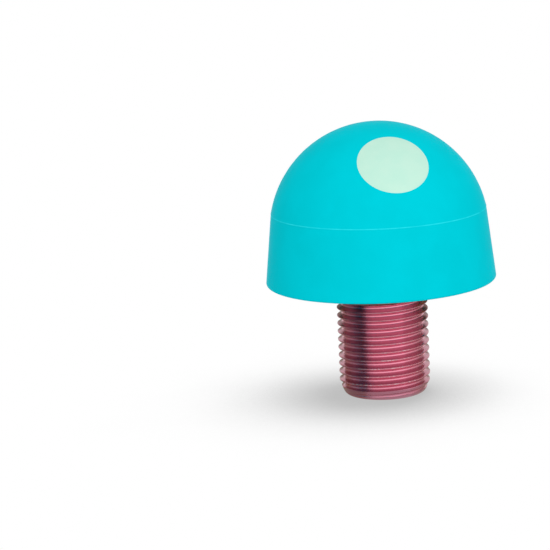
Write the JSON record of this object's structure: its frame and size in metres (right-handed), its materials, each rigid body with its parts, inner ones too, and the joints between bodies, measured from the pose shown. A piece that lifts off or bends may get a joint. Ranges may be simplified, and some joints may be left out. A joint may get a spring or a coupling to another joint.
{
  "type": "roller skate toe stop",
  "caption": "Dome-shaped rubber toe stop with a radially grooved base, moulded around a flanged, threaded metal stem that screws into the toe of a quad skate's plate and brakes on the floor.",
  "frame": {"origin": "centre of the flat end of the stem, on which the stop stands", "axes": "+Z along the stem's axis, from the stem's end to the top of the dome; -Y towards the round mark on the dome"},
  "size_m": [0.0398, 0.0398, 0.0476],
  "materials": {
    "teal_rubber": "satin moulded skin",
    "pink_anodised": "turned and colour anodised",
    "plate_steel": "grit blasted for bonding",
    "mint_mark": "matt ink"
  },
  "bodies": {
    "root": {"rubber_pad": "teal_rubber", "threaded_stem": "pink_anodised", "anchor_plate": "plate_steel", "printed_dot": "mint_mark"}
  },
  "joints": []
}
